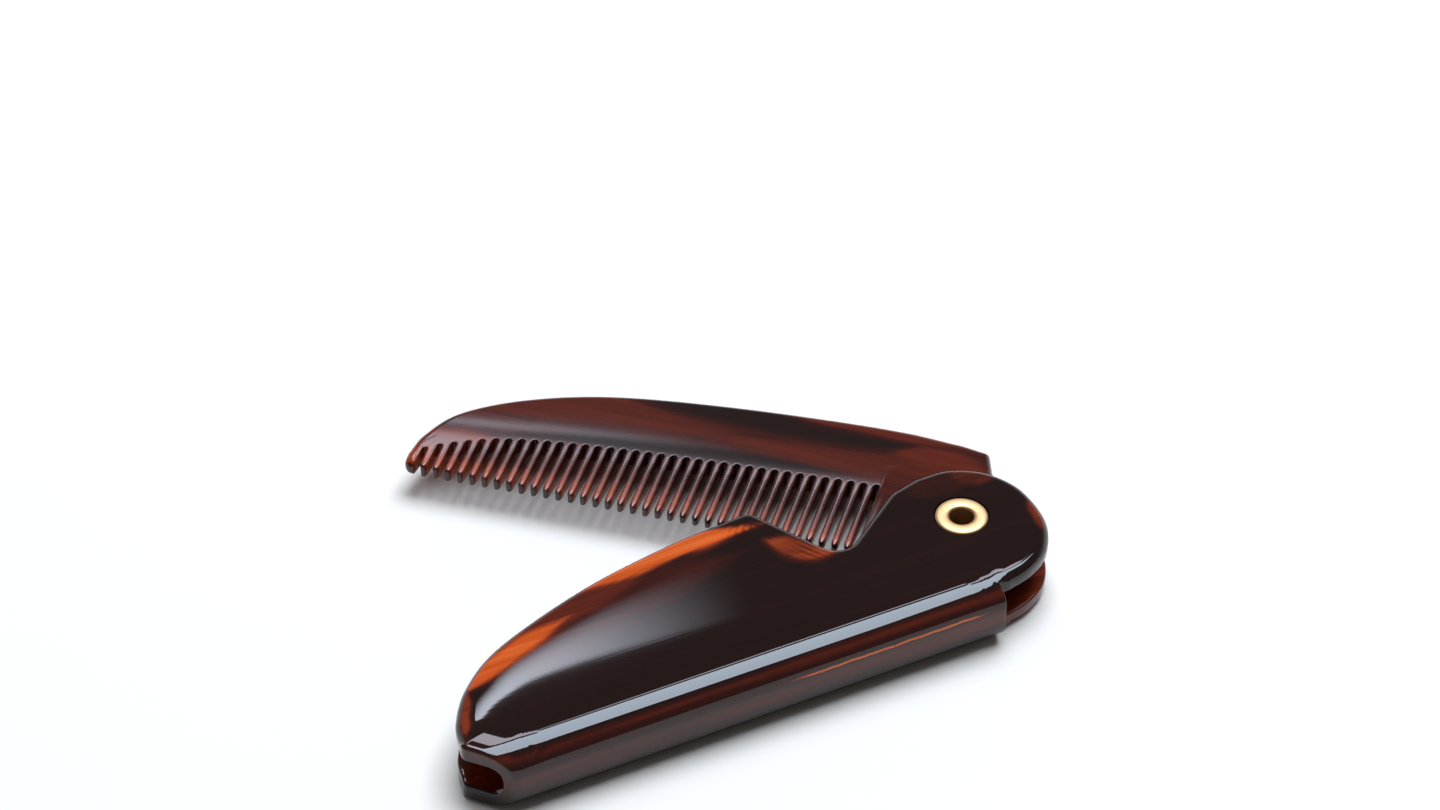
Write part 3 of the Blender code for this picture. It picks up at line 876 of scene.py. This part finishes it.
def store(piece, place, shade):
    """Point attributes for the shader: the place in the piece's frame, and the shade."""
    where = piece.data.attributes.new("place", "FLOAT_VECTOR", "POINT")
    where.data.foreach_set("vector", place.astype(np.float32).ravel())
    level = piece.data.attributes.new("shade", "FLOAT", "POINT")
    level.data.foreach_set("value", shade.astype(np.float32))
    print(piece.name, "shade from", round(float(shade.min()), 2), "to", round(float(shade.max()), 2))


COVER_STREAKS = [
    ([(-66, -4.0), (-54, 0.4), (-42, 3.6), (-30, 5.2), (-18, 5.0)], 1.6, 3.2, 0.44),
    ([(-64, -3.6), (-55, 2.9), (-46, 6.4), (-30, 8.6)], 1.5, 2.0, 0.58),
    ([(-49, 6.9), (-42, 8.4), (-32, 9.5), (-22, 9.0), (-17, 8.4)], 1.3, 0.7, 0.92),
    ([(-66, -4), (-61.6, -0.9), (-57, 1.1), (-52.4, 2.9), (-48, 4.2), (-44, 5.2)], 0.8, 1.0, 0.9),
    ([(-60.5, 1.4), (-63.8, -4.3), (-65.4, -10.0)], 1.0, 0.7, 0.66),
    ([(-23.5, 8.0), (-20.4, 4.6), (-18.4, 2.4), (-13.0, 0.2)], 0.9, 1.7, 0.74),
    ([(-6.0, 5.4), (-1.0, 5.8), (5.4, 4.6)], 0.8, 2.2, 0.34),
    ([(8.0, 0.6), (8.1, -3.6), (6.6, -7.2)], 0.4, 0.9, 0.62),
    ([(1.0, 7.4), (4.6, 5.8), (7.2, 3.0)], 1.0, 1.8, 0.5),
]
STRIPES = [((-22.4, 8.8), 2.2, 0.9), ((-18.2, 2.6), 2.4, 0.75)]
STRIPE_WAY = (0.9, 0.43)
SPINE_SHADES = [
    (0.0, 0.15),
    (1.9, 0.15),
    (2.8, 0.4),
    (3.7, 0.52),
    (4.6, 0.54),
    (5.5, 0.48),
    (6.2, 0.36),
    (6.8, 0.42),
    (7.4, 0.56),
    (8.2, 0.3),
]
# The last two are shades of painted light, for the slot's cut faces and the lower cover's edge.
GROUND, SLOT_PAINTED_LIGHT, LOWER_EDGE_PAINTED_LIGHT = 0.2, 0.64, 0.6

# Near black ground with the streaks on it. Two amber patches are crossed by dark stripes
# (centre, size, distance between stripes), and the amber stops short of the open edge.
place = own_frame(case, 0)
plan = place[:, :2]
shade = streaked(plan, np.full(len(plan), GROUND), COVER_STREAKS)
for centre, size, period in STRIPES:
    near = np.exp(-((plan - centre) ** 2).sum(1) / size ** 2)
    wave = 0.5 + 0.5 * np.sin(2 * math.pi * (plan @ STRIPE_WAY) / period + plan[:, 1])
    shade -= 0.4 * near * wave * (shade - GROUND)
shade = GROUND + (shade - GROUND) * ease(distance(plan, cover_upper), 0.15, 0.75)

# On the spine the layers of the sheet show one above the other, by height. The cut faces in
# the slot and the lower cover's edge get painted light: they are painted lighter and redder for
# the light that comes through the acetate into their shade.
on_spine = 1 - ease(distance(plan, np.vstack([left_cut, left_corner, end_corner])), 0.9, 1.6)
shade += (np.interp(place[:, 2], *np.array(SPINE_SHADES).T) - shade) * on_spine
inside_slot = np.abs(place[:, 2] - MIDDLE) < SLOT_HALF + 0.05
shade[inside_slot & (distance(plan, cover_loop) > 0.2)] = SLOT_PAINTED_LIGHT
lower_edge = (place[:, 2] < MIDDLE - SLOT_HALF + 0.3) & (plan[:, 0] > SPINE_END_X)
shade[lower_edge] = np.maximum(shade[lower_edge], LOWER_EDGE_PAINTED_LIGHT)
store(case, place, shade)

# %% Shade of the comb and of the eyelet

COMB_STREAKS = [
    ([(-68, 0.0), (-54, 6.6), (-42, 9.2), (-20, 9.6)], 1.6, 2.2, 0.54),
    ([(-56, 11.6), (-34, 12.4), (-16, 12.2), (4, 12.8)], 1.4, 2.0, 0.26),
    ([(-34, 14.2), (-16, 15.0), (-4, 14.6), (4, 12.6)], 0.9, 1.2, 0.58),
    ([(-40, 6.8), (-18, 8.0), (-6, 8.8), (8, 9.0)], 1.1, 1.7, 0.53),
    ([(-14, 11.4), (-4, 11.6), (4, 9.0)], 1.0, 1.5, 0.58),
    # painted shade: the dark streak just above the roots of the teeth
    ([(-64, -2.8), (-55, 0.9), (-45.8, 2.9), (-30.7, 4.6), (-11.0, 6.2), (-6, 6)], 0.5, 1.0, 0.16),
    ([(-70, -4.6), (-61.5, -1.6), (-54, 0.2)], 1.2, 1.3, 0.6),
]
# The tips and the tang get shades of painted light.
COMB_GROUND, TIP_PAINTED_LIGHT, TANG_PAINTED_LIGHT = 0.46, 0.74, 0.9

# Painted light: the thin tips are painted lighter for the light that comes through them, and so
# is the tang between the covers, which lies in their shade.
place = own_frame(comb, OPEN_ANGLE)
plan = place[:, :2]
shade = streaked(plan, np.full(len(plan), COMB_GROUND), COMB_STREAKS)
above_tips = plan[:, 1] - np.interp(plan[:, 0], tips[:, 0], tips[:, 1])
toothed_part = ease(-plan[:, 0], 10.0, 11.0)
light_tips = (1 - ease(above_tips, 0.8, 5.5)) * ease(above_tips, 0.1, 0.5) * toothed_part
shade += (TIP_PAINTED_LIGHT - shade) * light_tips
in_case = ease(8.4 - np.hypot(plan[:, 0], plan[:, 1]), -0.6, 1.0) * (1 - toothed_part)
store(comb, place, shade + (TANG_PAINTED_LIGHT - shade) * in_case)

# The eyelet's shade falls from 1 on the rolled ends to 0 down the bore: the dark bore is painted
# shade, with tarnish.
place = own_frame(eyelet, 0)
from_end = np.minimum(CASE_TOP + PROUD - place[:, 2], place[:, 2] - PROUD + 0.3)
store(eyelet, place, 1 - ease(from_end, 0.35, 0.9))

# %% Acetate
TORTOISESHELL = [
    (0.0, "#120806"),
    (0.25, "#1f0f0b"),
    (0.45, "#38130d"),
    (0.6, "#5a1f11"),
    (0.75, "#8a3416"),
    (0.9, "#bd4a17"),
    (1.0, "#d6642a"),
]
# Sizes of the patterns in mm, along X, Y and Z of the piece. The real polishing lines are some
# hundredths of a millimetre apart, too fine to show, so they are drawn 0.3 mm apart.
STREAK_SIZE = (28.0, 1.4, 2.0)
POLISH_SIZE = (10.0, 0.3, 1.0)
POLISH_DEPTH = 0.0006
# Height on the spine of the painted glow, light coming through the wall, and where along X it
# starts and ends, in mm.
PAINTED_GLOW = (5.7, -31, -3)


def painted_glow_line(tree, place, height, start, end):
    """Thin amber line painted on the spine as a glow: painted light that comes through the wall
    near the slot's top. Full within 0.07 mm of a wavering height, nothing beyond 0.22 mm. It
    fades in over 9 mm and out over 4 mm at its ends, keeps to the spine's face, and breaks
    off where the noise is low."""
    spot = add(tree, "SeparateXYZ", {0: place})
    long_way = add(tree, "VectorMath", {0: place, 1: (0.35, 0.0, 0.0)}, operation="MULTIPLY").outputs[0]
    waver = add(tree, "TexNoise", {"Vector": long_way, "Scale": 1.0, "Detail": 4.0}).outputs["Fac"]
    middle = combined(tree, "MULTIPLY_ADD", waver, 0.5, height - 0.25)
    away = combined(tree, "SUBTRACT", spot.outputs["Z"], middle)
    parts = [
        (combined(tree, "ABSOLUTE", away), 0.22, 0.07),
        (spot.outputs["X"], start, start + 9),
        (spot.outputs["X"], end, end - 4),
        (spot.outputs["Y"], -12.2, -12.6),
        (waver, 0.28, 0.42),
    ]
    product = 0.9
    for value, low, high in parts:
        product = combined(tree, "MULTIPLY", smooth_step(tree, value, low, high), product)
    return product


def acetate(name, mottle, roughness, painted_glow=None):
    """Buffed plastic: it gives the eye dark, warm depth under hard, wet-looking reflections.
    Base colour: the stored shade, plus a noise that is stretched along the streaks and a
    finer one along the polishing lines, through the ramp. The fine lines in the colour are
    partly dust in the polishing lines and partly their painted reflection. Bump: the same fine
    lines. A noise has features about one unit wide, so a place is divided by their size."""
    finish, tree, shader = new_finish(name, {"Roughness": roughness, "IOR": 1.49})
    place = add(tree, "Attribute", attribute_name="place").outputs["Vector"]
    shade = add(tree, "Attribute", attribute_name="shade").outputs["Fac"]
    along_grain = add(tree, "VectorMath", {0: place, 1: STREAK_SIZE}, operation="DIVIDE")
    grain = {"Vector": along_grain.outputs[0], "Scale": 1.0, "Detail": 5.0, "Distortion": 0.4}
    clouds = add(tree, "TexNoise", grain).outputs["Fac"]
    spread = combined(tree, "MULTIPLY_ADD", clouds, mottle, -mottle / 2)
    fine = add(tree, "VectorMath", {0: place, 1: POLISH_SIZE}, operation="DIVIDE")
    lines = add(tree, "TexNoise", {"Vector": fine.outputs[0], "Scale": 1.0, "Detail": 2.0})
    lines = lines.outputs["Fac"]
    # fine lines in the colour: partly dust in the polishing lines, partly their painted reflection
    polish_dust_and_sheen = combined(tree, "MULTIPLY_ADD", lines, 0.14, -0.07)
    total = combined(tree, "ADD", combined(tree, "ADD", spread, polish_dust_and_sheen), shade)
    # painted light: the glowing amber line on the spine
    if painted_glow:
        total = combined(tree, "ADD", total, painted_glow_line(tree, place, *painted_glow))
    colour = add(tree, "ValToRGB", {"Fac": total}, TORTOISESHELL)
    tree.links.new(colour.outputs["Color"], shader.inputs["Base Color"])
    relief = {"Height": lines, "Distance": POLISH_DEPTH * MM, "Strength": 0.3}
    tree.links.new(add(tree, "Bump", relief).outputs["Normal"], shader.inputs["Normal"])
    return finish


BRASS = [(0.0, "#381505"), (0.5, "#8a5a2a"), (1.0, "#d9b07f")]


def brass(name):
    """Pale yellow metal, satin from tumbling: it gives the eye a soft, broad glint. The bore is
    darker: painted shade with tarnish, as the shade mixes towards dark brown."""
    finish, tree, shader = new_finish(name, {"Roughness": 0.48, "Metallic": 1.0})
    shade = add(tree, "Attribute", attribute_name="shade").outputs["Fac"]
    colour = add(tree, "ValToRGB", {"Fac": shade}, BRASS)
    tree.links.new(colour.outputs["Color"], shader.inputs["Base Color"])
    return finish


for piece, finish in (
    (case, acetate("dark_tortoiseshell_acetate", 0.28, 0.02, PAINTED_GLOW)),
    (comb, acetate("red_tortoiseshell_acetate", 0.24, 0.1)),
    (eyelet, brass("pale_brass")),
):
    piece.data.materials.clear()
    piece.data.materials.append(finish)
    print(piece.name, "is", finish.name, "with", len(finish.node_tree.nodes), "nodes")

# %% [markdown]
# ## Studio
#
# The photograph shows a white table, a long soft highlight down the fold and a second, dimmer
# one across the covers. The first comes from a large soft box overhead, the second from a
# window-like panel behind, low enough to be mirrored in the flat of the acetate. A wide, weaker
# panel above the window lights the ground taper of the comb and its teeth.
#
# The camera stands where the photograph was taken from. The spacing of the teeth, the round
# eyelet and the straight spine gave its angle and its distance.

# %% Camera at the photograph's angle
ELEVATION = math.radians(40.392)
TURN = math.radians(25.982)
FOCAL_PIXELS, IMAGE = 3500, (1440, 810)
DEPTH = 397.724
SEEN_AT = (961.6, 515.75)

right = np.array([math.cos(TURN), -math.sin(TURN), 0])
level = np.array([math.sin(TURN), math.cos(TURN), 0])
forward = level * math.cos(ELEVATION) - np.array([0, 0, math.sin(ELEVATION)])
up = level * math.sin(ELEVATION) + np.array([0, 0, math.cos(ELEVATION)])
pivot_top = np.array([*PIVOT, CASE_TOP])
shift_right = (SEEN_AT[0] - IMAGE[0] / 2) / FOCAL_PIXELS * DEPTH
shift_up = (IMAGE[1] / 2 - SEEN_AT[1]) / FOCAL_PIXELS * DEPTH
eye = pivot_top - shift_right * right - shift_up * up - DEPTH * forward


def standing(x, y, z, place):
    """Matrix of an object at a place, with its own axes along the directions x, y and z."""
    return Matrix([[x[i], y[i], z[i], place[i]] for i in range(3)] + [[0, 0, 0, 1]])


camera_data = bpy.data.cameras.new("camera")
camera_data.sensor_width = 36
camera_data.lens = 36 * FOCAL_PIXELS / IMAGE[0]
camera_data.clip_start = 0.001
camera = bpy.data.objects.new("camera", camera_data)
bpy.context.scene.collection.objects.link(camera)
camera.matrix_world = standing(right, up, -forward, eye * MM)
bpy.context.scene.camera = camera
print("camera at", np.round(eye, 1), "mm, lens", camera_data.lens, "mm")

# %% Floor
# Matt white card, so large that no edge shows: it gives the eye a warm white with no gloss.
SIDE = 3.0
floor_mesh = bpy.data.meshes.new("floor")
corners = [(-SIDE, -SIDE, 0), (SIDE, -SIDE, 0), (SIDE, SIDE, 0), (-SIDE, SIDE, 0)]
floor_mesh.from_pydata(corners, [], [(0, 1, 2, 3)])
floor = bpy.data.objects.new("floor", floor_mesh)
bpy.context.scene.collection.objects.link(floor)
white_card = new_finish("white_card", {"Base Color": linear("#ebdfd3"), "Roughness": 0.9})[0]
floor.data.materials.append(white_card)
print("floor", 2 * SIDE, "m wide, in", white_card.name)


# %% Soft boxes
def soft_box(name, azimuth, elevation, metres, size, radiance, colour, roll_angle=0.0):
    """Area light aimed at the object. Azimuth is measured to the right of the camera's own
    heading. Power = radiance * area * pi, so a change of size keeps the brightness that
    shows in a reflection."""
    light = bpy.data.lights.new(name, "AREA")
    light.shape = "RECTANGLE"
    light.size, light.size_y = size
    light.energy = radiance * size[0] * size[1] * math.pi
    light.color = linear(colour)[:3]
    box = bpy.data.objects.new(name, light)
    bpy.context.scene.collection.objects.link(box)
    a, e = math.radians(azimuth), math.radians(elevation)
    way = (level * math.cos(a) + right * math.sin(a)) * math.cos(e) + np.array([0, 0, math.sin(e)])
    place = np.array([0, 0, 0.008]) + way * metres
    x = unit(np.cross(way, [0, 0, 1])) * -1
    y = np.cross(way, x)
    c, s = math.cos(math.radians(roll_angle)), math.sin(math.radians(roll_angle))
    x, y = c * x + s * y, c * y - s * x
    box.matrix_world = standing(x, y, way, place)
    print(name, "gives", round(light.energy, 1), "W from", metres, "m")
    return light


def fade(light, right_end, low_end):
    """Makes a soft box dimmer towards its right and lower ends: its strength is multiplied
    by two smooth ramps over the lamp's own width and height."""
    light.use_nodes = True
    tree = light.node_tree
    spot = add(tree, "SeparateXYZ", {0: add(tree, "NewGeometry").outputs["Parametric"]})
    across = smooth_step(tree, spot.outputs["X"], *right_end)
    upward = smooth_step(tree, spot.outputs["Y"], *low_end)
    both = combined(tree, "MULTIPLY", across, upward)
    tree.links.new(both, tree.nodes["Emission"].inputs["Strength"])


soft_box("overhead", 31, 73.8, 1.0, (0.72, 0.68), 11.4, "#dcedff", roll_angle=30)
window = soft_box("window", -4.0, 42.7, 10.0, (1.46, 0.70), 11.5, "#eaf0ff", roll_angle=13)
fade(window, right_end=(0.12, 0.76), low_end=(0.64, 1.0))
soft_box("card", -3.0, 50.0, 10.0, (4.4, 0.75), 7.5, "#f2ecfa")

# %% Room
# The room is dim, and lighter on the side that the camera faces, from the horizon up to about
# 35 degrees: this lights the far rims and fills the shadows.
ROOM_LIGHT, WALL_LIGHT = 0.13, 1.1
world = bpy.data.worlds.new("studio")
bpy.context.scene.world = world
world.use_nodes = True
world.node_tree.nodes["Background"].inputs["Color"].default_value = linear("#e8ecf2")
tree = world.node_tree
way = add(tree, "TexCoord").outputs["Generated"]
low = smooth_step(tree, add(tree, "SeparateXYZ", {0: way}).outputs["Z"], 0.58, 0.0)
ahead = add(tree, "VectorMath", {0: way, 1: tuple(level)}, operation="DOT_PRODUCT")
beyond = smooth_step(tree, ahead.outputs["Value"], 0.0, 0.6)
glow = combined(tree, "MULTIPLY_ADD", combined(tree, "MULTIPLY", low, beyond), WALL_LIGHT, ROOM_LIGHT)
tree.links.new(glow, tree.nodes["Background"].inputs["Strength"])
bpy.context.scene.view_settings.view_transform = "Standard"
print("room light from", ROOM_LIGHT, "to", round(ROOM_LIGHT + WALL_LIGHT, 2))
